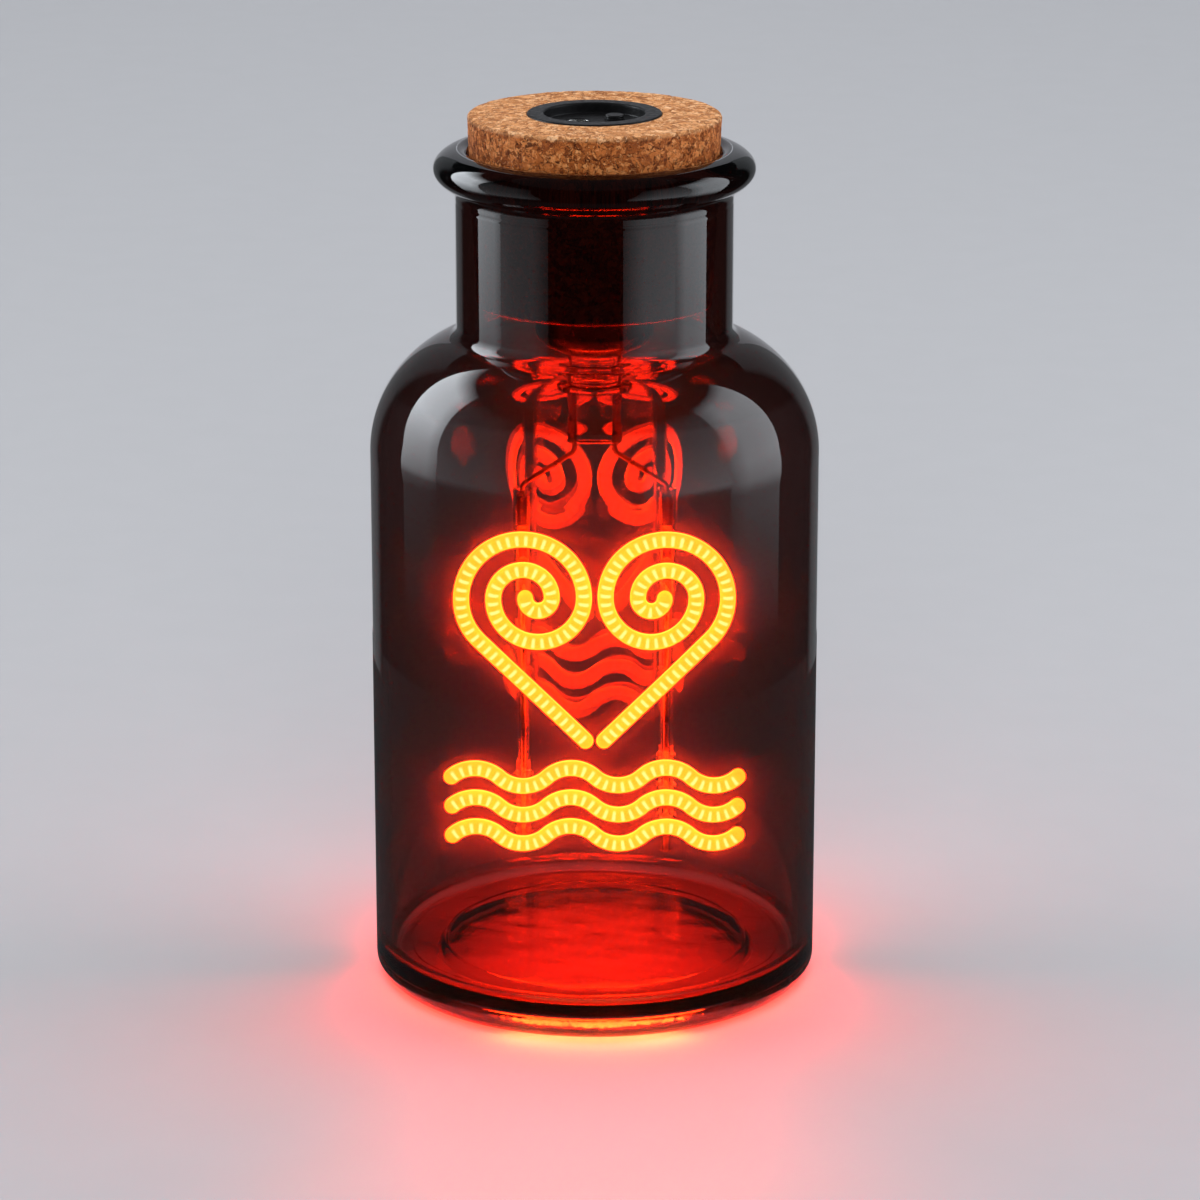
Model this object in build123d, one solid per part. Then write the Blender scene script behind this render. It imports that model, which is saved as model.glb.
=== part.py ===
from build123d import *
from math import atan2, cos, degrees, radians, sin, sqrt
import os

# Cork bottle light: a smoked glass bottle, a cork stopper with a switch and battery capsule,
# and a sign of glowing tubes that hangs from the stopper inside the bottle.
# Millimetres, +Z up, origin on the surface that the bottle stands on, on the bottle's axis.
# The sign faces -Y.

# Glass bottle
body_diameter = 100.0
body_height = 122.0
glass_wall = 3.3
base_thickness = 7.2
heel_round = 4.5
inner_heel_round = 4.0
push_up_diameter = 71.0
push_up_height = 2.4
shoulder_round = 27.9
neck_diameter = 61.2
neck_length = 39.6
neck_fillet = 2.8
lip_reach = 4.75
lip_bead_width = 14.7
lip_bead_height = 9.2
mouth_round = 2.2
seat_depth = 8.5

# Cork stopper
cork_length = 41.4
cork_stand = 7.3
cork_taper = 0.0446
cork_edge_round = 0.8
cork_clearance = 0.15

# Battery and the capsule round it
cell_diameter = 15.5
cell_length = 27.0
cell_nub_diameter = 5.5
cell_nub_height = 0.8
tab_width = 4.0
tab_thickness = 0.2
foam_wall = 1.25
lead_diameter = 1.0
lead_room = 3.6
lead_bend = 1.5
lead_joint_height = 2.0
capsule_wall = 2.4
capsule_floor = 2.0
capsule_length = 51.45
capsule_round = 4.0
spigot_height = 4.1

# Control cup in the top of the cork
flange_rim = 1.75
flange_thickness = 1.2
flange_stand = 0.3
flange_round = 0.4
well_wall = 2.0
well_depth = 2.35
well_floor = 1.2
skirt_wall = 1.2

# Control board and what stands on it
board_drop = 7.8
board_thickness = 1.2
chip_length = 4.9
chip_width = 3.9
chip_height = 1.5
chip_y = -4.4
screw_head_diameter = 3.0
screw_head_height = 1.2
screw_shank_diameter = 1.6
screw_grip = 4.8
screw_bearing = 45.0
boss_diameter = 3.8

# Push button and its switch
button_x = 4.4
button_y = 3.4
button_diameter = 4.2
button_stand = 1.2
button_round = 0.4
button_flange_rim = 0.6
button_flange_thickness = 0.8
button_travel = 0.5
switch_width = 6.0
switch_height = 3.5
switch_floor = 1.2
plunger_diameter = 3.2

# Charging socket and its light
jack_x = -3.6
jack_y = 2.1
jack_bore_diameter = 4.9
jack_sleeve_wall = 0.25
jack_sleeve_setback = 0.15
jack_wall = 0.5
jack_floor = 1.0
jack_pin_diameter = 1.6
jack_pin_setback = 1.2
jack_pin_round = 0.5
light_diameter = 1.1
light_bearing = 205.0
light_stand = 0.15
led_length = 1.6
led_width = 1.0
led_height = 0.8

# Clear stem under the capsule
stem_wire_spacing = 8.8
stem_wall = 0.9
stem_neck_length = 7.6
stem_flange_rim = 2.4
stem_flange_thickness = 2.0
pinch_flare = 0.2
pinch_thickness = 6.0
pinch_length = 12.7
pinch_round = 2.0

# Support wires, ferrules, sleeves and rails
wire_diameter = 1.2
wire_tail = 3.0
wire_exit = 2.2
wire_drop = 11.7
wire_hook = 0.9
wire_bend = 2.0
rail_spacing = 32.4
sleeve_diameter = 4.4
sleeve_wall = 0.55
sleeve_length = 23.4
ferrule_setback = 1.5
ferrule_length = 19.0
collar_height = 4.0
rail_tail = 1.0

# Glowing tubes
tube_diameter = 3.6
filament_diameter = 1.6
feed_pin_diameter = 0.5
glue_gap = 0.2
heart_drop = 10.2
heart_gap = 1.2
heart_side_angle = 45.0
eye_radius = 3.0
spiral_half_turns = 3
tip_gap = 0.6
tier_gap = 2.8
wave_rise = 2.1
wave_gap = 3.4
wave_rows = ["top", "middle", "bottom"]
half_waves = 6
half_waves_between_rails = 3

# Clearances
fit = 0.05
slide_clearance = 0.15
loose_fit = 0.3

# Bottle, worked out from the sizes above
body_r = body_diameter / 2
neck_r = neck_diameter / 2
bore_r = neck_r - glass_wall
shoulder_r = body_r - shoulder_round
neck_fillet_r = neck_r + neck_fillet
shoulder_reach = neck_fillet_r - shoulder_r
shoulder_rise = sqrt((shoulder_round + neck_fillet) ** 2 - shoulder_reach ** 2)
shoulder_turn = degrees(atan2(shoulder_rise, shoulder_reach))
neck_fillet_z = body_height + shoulder_rise
bottle_height = neck_fillet_z + neck_length
bead_r = neck_r + lip_reach - lip_bead_width / 2
bead_z = bottle_height - lip_bead_height / 2
seat_bottom = bottle_height - seat_depth

# Heights down the stopper
cork_top = bottle_height + cork_stand
cork_bottom = cork_top - cork_length
cup_top = cork_top + flange_stand
flange_bottom = cup_top - flange_thickness
floor_top = cup_top - well_depth
floor_bottom = floor_top - well_floor
board_top = floor_bottom - board_drop
board_bottom = board_top - board_thickness
skirt_bottom = board_bottom - spigot_height
capsule_bottom = cork_top - capsule_length
capsule_inside = capsule_bottom + capsule_floor
cell_bottom = capsule_inside + lead_room
cell_top = cell_bottom + cell_length
stem_flange_top = capsule_bottom - stem_neck_length
pinch_top = stem_flange_top - stem_flange_thickness
stem_bottom = pinch_top - pinch_length
sleeve_top = stem_bottom - wire_drop
sleeve_bottom = sleeve_top - sleeve_length
ferrule_top = sleeve_top - ferrule_setback
rail_top = ferrule_top - ferrule_length

# Radii of the capsule, from the cell outwards
cell_r = cell_diameter / 2
lead_r = lead_diameter / 2
foam_bore_r = cell_r + fit
groove_r = foam_bore_r + foam_wall
lead_circle = groove_r + loose_fit + lead_r
capsule_bore_r = lead_circle + lead_r + loose_fit
capsule_r = capsule_bore_r + capsule_wall
skirt_bore_r = capsule_r - skirt_wall
well_r = capsule_r - well_wall
flange_r = capsule_r + flange_rim
screw_head_r = screw_head_diameter / 2
screw_circle = capsule_bore_r - screw_head_r - loose_fit
screw_x = screw_circle * sin(radians(screw_bearing))
screw_y = -screw_circle * cos(radians(screw_bearing))
screw_places = [(-screw_x, screw_y), (screw_x, screw_y)]

# Button and switch
button_r = button_diameter / 2
button_flange_top = floor_bottom - fit
button_flange_bottom = button_flange_top - button_flange_thickness
switch_top = board_top + switch_height
plunger_r = plunger_diameter / 2

# Charging socket and light
jack_bore_r = jack_bore_diameter / 2
jack_sleeve_r = jack_bore_r + jack_sleeve_wall
jack_r = jack_sleeve_r + fit + jack_wall
jack_pin_r = jack_pin_diameter / 2
light_r = light_diameter / 2
light_reach = jack_r + light_r + loose_fit
light_x = jack_x + light_reach * cos(radians(light_bearing))
light_y = jack_y + light_reach * sin(radians(light_bearing))

# Stem, wires and rails
wire_r = wire_diameter / 2
wire_x = stem_wire_spacing / 2
wire_top = capsule_inside + wire_tail
stem_r = wire_x + wire_r + stem_wall
rail_x = rail_spacing / 2
sleeve_r = sleeve_diameter / 2
rail_y = sleeve_r
sleeve_bore_r = sleeve_r - sleeve_wall
rail_r = sleeve_bore_r - fit
sides = {"left": -1, "right": 1}

# Sign, from the top down
tube_r = tube_diameter / 2
filament_r = filament_diameter / 2
feed_pin_r = feed_pin_diameter / 2
tube_y = -glue_gap - tube_r
lobe_r = rail_x - tube_r - heart_gap / 2
lobe_z = sleeve_top - heart_drop - lobe_r
spiral_step = (lobe_r - eye_radius) / spiral_half_turns
side_slope = radians(heart_side_angle)
side_cross_z = lobe_z - lobe_r / sin(side_slope)
tip_x = tube_r + tip_gap / 2
tip_z = side_cross_z - (rail_x - tip_x) * cos(side_slope) / sin(side_slope)
half_wave = rail_spacing / half_waves_between_rails
wave_pitch = tube_diameter + wave_gap
wave_top_z = tip_z - tube_r - tier_gap - tube_r - wave_rise
wave_z = {row: wave_top_z - place * wave_pitch for place, row in enumerate(wave_rows)}
rail_bottom = wave_z[wave_rows[-1]] - wave_rise - collar_height / 2 - rail_tail


# A round bar or disc that stands upright between two heights
def rod(radius, bottom, top, x=0.0, y=0.0):
    bar = Cylinder(radius, top - bottom, align=(Align.CENTER, Align.CENTER, Align.MIN))
    return Pos(x, y, bottom) * bar


# A round tube that stands upright between two heights
def pipe(outer, inner, bottom, top, x=0.0, y=0.0):
    return rod(outer, bottom, top, x, y) - rod(inner, bottom, top, x, y)


# A block that stands upright between two heights
def block(length, width, bottom, top, x=0.0, y=0.0):
    solid = Box(length, width, top - bottom, align=(Align.CENTER, Align.CENTER, Align.MIN))
    return Pos(x, y, bottom) * solid


# A bar that lies along Y from front to back
def cross_rod(radius, front, back, x, z):
    bar = Cylinder(radius, back - front, align=(Align.CENTER, Align.CENTER, Align.MIN))
    return Pos(x, front, z) * Rot(X=-90) * bar


# A round bar, or a tube where a bore is given, bent along a path
def bent(path, radius, bore=0.0):
    section = Circle(radius)
    if bore:
        section -= Circle(bore)
    return sweep(Plane(origin=path @ 0, z_dir=path % 0) * section, path=path)


# The bottle's outside, or its inside where the wall is the inset, turned about the axis
def bottle_form(inset, bottom, heel, top):
    side = body_r - inset
    neck = neck_r - inset
    outline = [
        Line((0, bottom), (side - heel, bottom)),
        CenterArc((side - heel, bottom + heel), heel, -90, 90),
        Line((side, bottom + heel), (side, body_height)),
        CenterArc((shoulder_r, body_height), shoulder_round - inset, 0, shoulder_turn),
        CenterArc((neck_fillet_r, neck_fillet_z), neck_fillet + inset, 180, shoulder_turn),
        Line((neck, neck_fillet_z), (neck, top)),
        Line((neck, top), (0, top)),
        Line((0, top), (0, bottom)),
    ]
    return revolve(Plane.XZ * make_face(outline), Axis.Z)


# The lip is an oval bead round the neck, and the mouth is a cone that seats the cork
def glass_bottle():
    bead = Plane.XZ * Pos(bead_r, bead_z) * Ellipse(lip_bead_width / 2, lip_bead_height / 2)
    glass = bottle_form(0, 0, heel_round, bead_z) + revolve(bead, Axis.Z)
    glass -= bottle_form(glass_wall, base_thickness, inner_heel_round, seat_bottom)
    mouth_r = bore_r + cork_taper * seat_depth
    seat = Cone(bore_r, mouth_r, seat_depth, align=(Align.CENTER, Align.CENTER, Align.MIN))
    glass -= Pos(0, 0, seat_bottom) * seat
    push_up_r = push_up_diameter / 2
    dome_r = (push_up_r ** 2 + push_up_height ** 2) / (2 * push_up_height)
    glass -= Pos(0, 0, push_up_height - dome_r) * Sphere(dome_r)
    mouth_edge = glass.edges().sort_by(Axis.Z)[-1]
    return fillet(mouth_edge, mouth_round)


# A tapered cork with a bore for the capsule and a seat for the cup's flange
def cork_stopper():
    def radius_at(height):
        return bore_r - cork_clearance + cork_taper * (height - seat_bottom)

    plug = Cone(radius_at(cork_bottom), radius_at(cork_top), cork_length)
    cork = Pos(0, 0, cork_bottom + cork_length / 2) * plug
    cork = fillet(cork.edges().filter_by(GeomType.CIRCLE), cork_edge_round)
    cork -= rod(capsule_r + fit, cork_bottom, cork_top)
    return cork - rod(flange_r + fit, flange_bottom, cork_top)


# Bezel, recessed well with openings for the controls, and the skirt that holds the board
def control_cup():
    flange = rod(flange_r, flange_bottom, cup_top)
    flange = fillet(flange.edges().group_by(Axis.Z)[-1], flange_round)
    cup = flange + rod(capsule_r, skirt_bottom, flange_bottom)
    cup -= rod(well_r, floor_top, cup_top)
    cup -= rod(skirt_bore_r, skirt_bottom, floor_bottom)
    for x, y in screw_places:
        cup += rod(boss_diameter / 2, board_top + fit, floor_bottom, x, y)
        cup -= rod(screw_shank_diameter / 2, board_top + fit, board_top + fit + screw_grip, x, y)
    cup -= rod(button_r + slide_clearance, floor_bottom, floor_top, button_x, button_y)
    cup -= rod(jack_sleeve_r + fit, floor_bottom, floor_top, jack_x, jack_y)
    return cup - rod(light_r + fit, floor_bottom, floor_top, light_x, light_y)


# Lower half of the capsule, with a spigot in the cup's skirt and a hole for the stem
def capsule_shell():
    shell = rod(capsule_r, capsule_bottom, skirt_bottom)
    shell = fillet(shell.edges().group_by(Axis.Z)[0], capsule_round)
    shell += rod(skirt_bore_r - fit, skirt_bottom, board_bottom)
    shell -= rod(capsule_bore_r, capsule_inside, board_bottom)
    return shell - rod(stem_r + fit, capsule_bottom, capsule_inside)


# Button with a flange under the well's floor that keeps it in
def power_button():
    cap = rod(button_r, button_flange_top, floor_top + button_stand, button_x, button_y)
    cap = fillet(cap.edges().group_by(Axis.Z)[-1], button_round)
    flange_width = button_r + slide_clearance + button_flange_rim
    return cap + rod(flange_width, button_flange_bottom, button_flange_top, button_x, button_y)


def switch_plunger():
    plunger_bottom = board_top + switch_floor + button_travel + slide_clearance
    return rod(plunger_r, plunger_bottom, button_flange_bottom, button_x, button_y)


def switch_body():
    body = block(switch_width, switch_width, board_top, switch_top, button_x, button_y)
    well = rod(plunger_r + slide_clearance, board_top + switch_floor, switch_top, button_x, button_y)
    return body - well


# Socket body with a hole in its floor for the centre pin
def jack_body():
    body = rod(jack_r, board_top, floor_bottom - fit, jack_x, jack_y)
    body -= rod(jack_sleeve_r + fit, board_top + jack_floor, floor_bottom - fit, jack_x, jack_y)
    return body - rod(jack_pin_r + fit, board_top, board_top + jack_floor, jack_x, jack_y)


def jack_sleeve():
    top = floor_top - jack_sleeve_setback
    return pipe(jack_sleeve_r, jack_bore_r, board_top + jack_floor, top, jack_x, jack_y)


def jack_pin():
    pin = rod(jack_pin_r, board_top, floor_top - jack_pin_setback, jack_x, jack_y)
    return fillet(pin.edges().group_by(Axis.Z)[-1], jack_pin_round)


# Clear rod that takes the charge light's glow up to the well
def charge_light():
    return rod(light_r, board_top + led_height, floor_top + light_stand, light_x, light_y)


def charge_led():
    return block(led_length, led_width, board_top, board_top + led_height, light_x, light_y)


def control_board():
    board = rod(skirt_bore_r - fit, board_bottom, board_top)
    for x, y in screw_places:
        board -= rod(screw_shank_diameter / 2 + fit, board_bottom, board_top, x, y)
    return board


def driver_chip():
    return block(chip_length, chip_width, board_top, board_top + chip_height, 0, chip_y)


# Two screws from under the board into the cup's bosses
def board_screws():
    screws = []
    for x, y in screw_places:
        shank = rod(screw_shank_diameter / 2 - fit, board_bottom, board_top + screw_grip, x, y)
        screws.append(shank + rod(screw_head_r, board_bottom - screw_head_height, board_bottom, x, y))
    return Compound(children=screws)


def battery_cell():
    can = rod(cell_r, cell_bottom, cell_top - cell_nub_height)
    return can + rod(cell_nub_diameter / 2, cell_top - cell_nub_height, cell_top)


def battery_tab(bottom):
    return block(cell_r, tab_width, bottom, bottom + tab_thickness)


# Foam wrap that holds the cell, with grooves for the leads
def battery_foam():
    foam = pipe(capsule_bore_r - fit, foam_bore_r, capsule_inside, skirt_bottom)
    groove = 2 * (lead_r + loose_fit)
    depth = capsule_bore_r - groove_r
    middle = groove_r + depth / 2
    foam -= block(depth, groove, capsule_inside, skirt_bottom, -middle)
    foam -= block(depth, groove, capsule_inside, skirt_bottom, middle)
    foam -= block(groove, depth, capsule_inside, skirt_bottom, 0, middle)
    return foam - rod(capsule_bore_r, capsule_inside, cell_bottom)


# Lead from the cell's top tab straight up to the board
def battery_lead_positive():
    return rod(lead_r, cell_top + tab_thickness, board_bottom)


# Lead from under the cell's bottom tab, up beside the cell to the board
def battery_lead_negative():
    run_z = cell_bottom - tab_thickness - lead_r
    start = (0, 0, run_z)
    route = FilletPolyline(start, (0, lead_circle, run_z), (0, lead_circle, board_bottom), radius=lead_bend)
    return bent(route, lead_r)


# Lead from a support wire's top end, up beside the cell to the board
def lamp_lead(side):
    run_z = capsule_inside + lead_joint_height
    start = (side * (wire_x + wire_r), 0, run_z)
    corner = (side * lead_circle, 0, run_z)
    route = FilletPolyline(start, corner, (side * lead_circle, 0, board_bottom), radius=lead_bend)
    return bent(route, lead_r)


# Clear stem: a neck in the capsule, a flange and a flat foot, with two bores for the wires
def clear_stem():
    foot = block(2 * (stem_r + pinch_flare), pinch_thickness, stem_bottom, pinch_top)
    foot = fillet(foot.edges().filter_by(Axis.Z), pinch_round)
    stem = foot + rod(stem_r + stem_flange_rim, pinch_top, stem_flange_top)
    stem += rod(stem_r, stem_flange_top, capsule_inside)
    for side in sides.values():
        stem -= rod(wire_r + fit, stem_bottom, capsule_inside, side * wire_x)
    return stem


# Stiff wire through the stem, out to its rail and down behind the sign
def support_wire(side):
    points = [
        (side * wire_x, 0, wire_top),
        (side * wire_x, 0, stem_bottom - wire_exit),
        (side * rail_x, rail_y, sleeve_top + wire_hook),
        (side * rail_x, rail_y, rail_bottom),
    ]
    return bent(FilletPolyline(*points, radius=wire_bend), wire_r)


def ferrule(side):
    return pipe(rail_r, wire_r + fit, rail_top, ferrule_top, side * rail_x, rail_y)


def sleeve(side):
    return pipe(sleeve_r, sleeve_bore_r, sleeve_bottom, sleeve_top, side * rail_x, rail_y)


# Heights where a rail carries a tube: the heart's side, then a crest or a trough of each wave
def carried_heights(side):
    return [side_cross_z] + [wave_z[row] + side * wave_rise for row in wave_rows]


# Holes along Y for the feed pins of one rail
def feed_holes(side):
    radius = feed_pin_r + fit
    return [cross_rod(radius, tube_y, rail_y, side * rail_x, z) for z in carried_heights(side)]


def rail_tube(side):
    rail = pipe(rail_r, wire_r + fit, rail_bottom, rail_top, side * rail_x, rail_y)
    return rail - feed_holes(side)


# Collars on the rails, glued to the backs of the tubes
def rail_collars():
    collars = []
    for side in sides.values():
        for z, hole in zip(carried_heights(side), feed_holes(side)):
            low = z - collar_height / 2
            ring = pipe(sleeve_r, rail_r + fit, low, low + collar_height, side * rail_x, rail_y)
            collars.append(ring - hole)
    return Compound(children=collars)


# Pins that join the rail wires to the filaments inside the tubes
def feed_pins():
    front = tube_y + filament_r + fit
    back = rail_y - wire_r - fit
    pins = []
    for side in sides.values():
        for z in carried_heights(side):
            pins.append(cross_rod(feed_pin_r, front, back, side * rail_x, z))
    return Compound(children=pins)


# Half a heart: up its straight side, over the lobe, then half turns of smaller radius inwards
def heart_path(side):
    side_start = (rail_x + lobe_r * sin(side_slope), lobe_z - lobe_r * cos(side_slope))
    path = [Line((tip_x, tip_z), side_start)]
    path.append(CenterArc((rail_x, lobe_z), lobe_r, heart_side_angle - 90, 270 - heart_side_angle))
    centre = rail_x
    start = 180
    for turn in range(spiral_half_turns):
        radius = lobe_r - (turn + 1) * spiral_step
        centre += spiral_step if start == 0 else -spiral_step
        path.append(CenterArc((centre, lobe_z), radius, start, 180))
        start = 180 - start
    drawn = Plane.XZ.offset(-tube_y) * Wire(path)
    return drawn if side > 0 else drawn.mirror(Plane.YZ)


# A row of half waves, each an arc, alternately up and down
def wave_path(row):
    arcs = []
    for place in range(half_waves):
        start = (place - half_waves / 2) * half_wave
        rise = wave_rise if place % 2 == 0 else -wave_rise
        ends = [(start, wave_z[row]), (start + half_wave, wave_z[row])]
        arcs.append(ThreePointArc(ends[0], (start + half_wave / 2, wave_z[row] + rise), ends[1]))
    return Plane.XZ.offset(-tube_y) * Wire(arcs)


def tube_jacket(path):
    jacket = bent(path, tube_r, filament_r + fit)
    return jacket - feed_holes(-1) - feed_holes(1)


# Rounded ends glued on the tubes
def tube_end_caps(paths):
    caps = []
    for path in paths:
        for place, outward in ((0, -1), (1, 1)):
            end = Plane(origin=path @ place, z_dir=(path % place) * outward)
            dome = Sphere(tube_r, arc_size1=0, align=(Align.CENTER, Align.CENTER, Align.MIN))
            caps.append(end * dome)
    return Compound(children=caps)


pieces = {
    "glass_bottle": glass_bottle(),
    "cork_stopper": cork_stopper(),
    "control_cup": control_cup(),
    "capsule_shell": capsule_shell(),
    "power_button": power_button(),
    "switch_plunger": switch_plunger(),
    "switch_body": switch_body(),
    "jack_body": jack_body(),
    "jack_sleeve": jack_sleeve(),
    "jack_pin": jack_pin(),
    "charge_light": charge_light(),
    "charge_led": charge_led(),
    "control_board": control_board(),
    "driver_chip": driver_chip(),
    "board_screws": board_screws(),
    "battery_cell": battery_cell(),
    "battery_tab_top": battery_tab(cell_top),
    "battery_tab_bottom": battery_tab(cell_bottom - tab_thickness),
    "battery_foam": battery_foam(),
    "battery_lead_positive": battery_lead_positive(),
    "battery_lead_negative": battery_lead_negative(),
    "clear_stem": clear_stem(),
    "rail_collars": rail_collars(),
    "feed_pins": feed_pins(),
}
for name, side in sides.items():
    pieces[f"lamp_lead_{name}"] = lamp_lead(side)
    pieces[f"support_wire_{name}"] = support_wire(side)
    pieces[f"ferrule_{name}"] = ferrule(side)
    pieces[f"sleeve_{name}"] = sleeve(side)
    pieces[f"rail_tube_{name}"] = rail_tube(side)

tube_paths = {f"heart_{name}": heart_path(side) for name, side in sides.items()}
tube_paths.update({f"wave_{row}": wave_path(row) for row in wave_rows})
for name, path in tube_paths.items():
    form, place = name.split("_")
    pieces[f"{form}_tube_{place}"] = tube_jacket(path)
    pieces[f"{form}_filament_{place}"] = bent(path, filament_r)
pieces["tube_end_caps"] = tube_end_caps(tube_paths.values())

os.makedirs("parts", exist_ok=True)
for node, shape in pieces.items():
    export_step(shape, f"parts/{node}.step")
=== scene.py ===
import math

import bpy
import numpy as np
from mathutils import Matrix, Vector


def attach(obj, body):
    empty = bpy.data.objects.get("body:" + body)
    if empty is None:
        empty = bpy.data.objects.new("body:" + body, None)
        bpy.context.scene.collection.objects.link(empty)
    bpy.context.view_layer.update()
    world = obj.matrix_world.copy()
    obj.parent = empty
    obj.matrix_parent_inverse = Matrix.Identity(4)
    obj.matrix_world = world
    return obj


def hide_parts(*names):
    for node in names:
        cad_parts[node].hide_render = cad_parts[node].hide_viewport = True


# Cork bottle light: smoked glass, a cork stopper, black controls and a sign of glowing tubes.
# The sizes in the dictionaries are in millimetres, as in the CAD; mm turns them into metres.

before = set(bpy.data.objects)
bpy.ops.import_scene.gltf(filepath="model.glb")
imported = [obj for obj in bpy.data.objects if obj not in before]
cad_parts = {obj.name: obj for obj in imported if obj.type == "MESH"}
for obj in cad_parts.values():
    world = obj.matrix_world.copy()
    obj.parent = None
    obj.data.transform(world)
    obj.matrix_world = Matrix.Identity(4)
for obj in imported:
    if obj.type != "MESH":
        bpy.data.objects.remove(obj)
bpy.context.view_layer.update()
scene = bpy.context.scene
mm = 0.001
fullTurn = 2 * math.pi
print("frame loaded:", len(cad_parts), "nodes")


def quadGrid(rows, cols, closeRows=False):
    # the four corners of every cell of a grid of points whose columns go right round,
    # and the same corners counted on without wrapping, for texture maps
    row, col = np.meshgrid(np.arange(rows - (not closeRows)), np.arange(cols), indexing="ij")
    rowEnds = np.stack([row, row, row + 1, row + 1], -1).reshape(-1, 4)
    colEnds = np.stack([col, col + 1, col + 1, col], -1).reshape(-1, 4)
    return (rowEnds % rows) * cols + colEnds % cols, rowEnds, colEnds


def skin(rings, closeRows=False, poles=(None, None)):
    # a surface over rings of points; a pole is a single point that closes an end with a fan
    rows, cols = rings.shape[:2]
    points, faces = [rings.reshape(-1, 3)], [quadGrid(rows, cols, closeRows)[0]]
    here = np.arange(cols)
    after = (here + 1) % cols
    count = rows * cols
    for end, pole in enumerate(poles):
        if pole is not None:
            first = (rows - 1) * cols if end else 0
            pair = (here, after) if end else (after, here)
            faces.append(np.stack([first + pair[0], first + pair[1], np.full(cols, count)], 1))
            points.append(np.reshape(np.asarray(pole, float), (1, 3)))
            count += 1
    return np.concatenate(points), faces


def signedVolume(points, faces):
    # sum of the corner products of every face's triangles, positive where faces point outwards
    total = 0.0
    for group in faces:
        a, b, c = (points[group[:, k]] for k in range(3))
        total += np.einsum("ij,ij->", a, np.cross(b, c))
        if group.shape[1] == 4:
            total += np.einsum("ij,ij->", a, np.cross(c, points[group[:, 3]]))
    return total


def joined(parts):
    # several closed shapes as one list of points and faces
    points, faces, start = [], [], 0
    for partPoints, partFaces in parts:
        if signedVolume(partPoints, partFaces) < 0:
            partFaces = [group[:, ::-1] for group in partFaces]
        points.append(partPoints)
        faces += [group + start for group in partFaces]
        start += len(partPoints)
    return np.concatenate(points), faces


def addPiece(name, shape, material, body, nodes, uv=None, marks=None, sharp=38):
    # puts a closed shape into a mesh, smooth but for edges sharper than the given angle
    points, faces = shape
    if signedVolume(points, faces) < 0:
        faces = [group[:, ::-1] for group in faces]
        uv = None if uv is None else uv[:, ::-1]
    mesh = bpy.data.meshes.new(name)
    mesh.from_pydata((points * mm).tolist(), [], [f for group in faces for f in group.tolist()])
    if uv is not None:
        corners = np.zeros((len(mesh.loops), 2))
        corners[:uv.shape[0] * 4] = uv.reshape(-1, 2)
        mesh.uv_layers.new(name="along").data.foreach_set("uv", corners.ravel())
    for key, values in (marks or {}).items():
        mesh.attributes.new(key, "FLOAT", "POINT").data.foreach_set("value", values)
    mesh.polygons.foreach_set("use_smooth", np.ones(len(mesh.polygons), bool))
    mesh.set_sharp_from_angle(angle=math.radians(sharp))
    mesh.materials.append(material)
    mesh.update()
    piece = bpy.data.objects.new(name, mesh)
    scene.collection.objects.link(piece)
    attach(piece, body)
    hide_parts(*nodes)
    return piece


def arcPoints(centre, radius, start, end, count):
    # points on an arc of a circle, or of an oval where the radius is a pair, angles in degrees
    angle = np.radians(np.linspace(start, end, count))
    wide, tall = radius if isinstance(radius, tuple) else (radius, radius)
    return np.stack([centre[0] + wide * np.cos(angle), centre[1] + tall * np.sin(angle)], 1)


def straight(start, end, spacing, edge=0.4):
    # points along a straight stretch, with one close to each end to hold the shading there
    length = math.dist(start, end)
    edge = min(edge, length / 3)
    inner = np.linspace(edge / length, 1 - edge / length, max(2, int(length / spacing) + 1))
    share = np.concatenate([[0], inner, [1]])[:, None]
    return np.asarray(start) * (1 - share) + np.asarray(end) * share


def outline(*stretches):
    # stretches of a profile end to end, without the points that two of them share
    points = np.concatenate([np.atleast_2d(np.asarray(s, float)) for s in stretches])
    keep = np.concatenate([[True], np.linalg.norm(np.diff(points, axis=0), axis=1) > 1e-6])
    return points[keep]


def lathe(profile, sides, centre=(0, 0), closed=False, swell=None):
    # every (radius, height) point of the profile is carried round an upright axis;
    # swell may change the radius and height of the whole grid before that
    onAxis = profile[:, 0] < 1e-9
    rim = profile[~onAxis]
    angle = np.arange(sides) * fullTurn / sides
    radius, height = np.repeat(rim[:, :1], sides, 1), np.repeat(rim[:, 1:], sides, 1)
    if swell:
        radius, height = swell(radius, height, angle)
    x, y = centre[0] + radius * np.cos(angle), centre[1] + radius * np.sin(angle)
    rings = np.stack([x, y, height], -1)
    tips = [(*centre, profile[end, 1]) if onAxis[end] else None for end in (0, -1)]
    return skin(rings, closed, tips)


def unit(vectors):
    return vectors / np.linalg.norm(vectors, axis=-1, keepdims=True)


def evenly(points, spacing):
    # the same line at an even spacing along its length, and the length at each point
    length = np.concatenate([[0], np.cumsum(np.linalg.norm(np.diff(points, axis=0), axis=1))])
    place = np.linspace(0, length[-1], int(round(length[-1] / spacing)) + 1)
    return np.stack([np.interp(place, length, points[:, k]) for k in range(3)], 1), place


def carried(path, along, flat, radii, sides):
    # a circle carried along a flat path: one axis lies in the path's plane, the other is its normal
    across = np.cross(flat, along)
    angle = np.arange(sides) * fullTurn / sides
    cosine, sine = (turn[None, :, None] for turn in (np.cos(angle), np.sin(angle)))
    ring = cosine * across[:, None] + sine * np.asarray(flat)
    return path[:, None] + np.reshape(radii, (-1, 1, 1)) * ring


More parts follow.
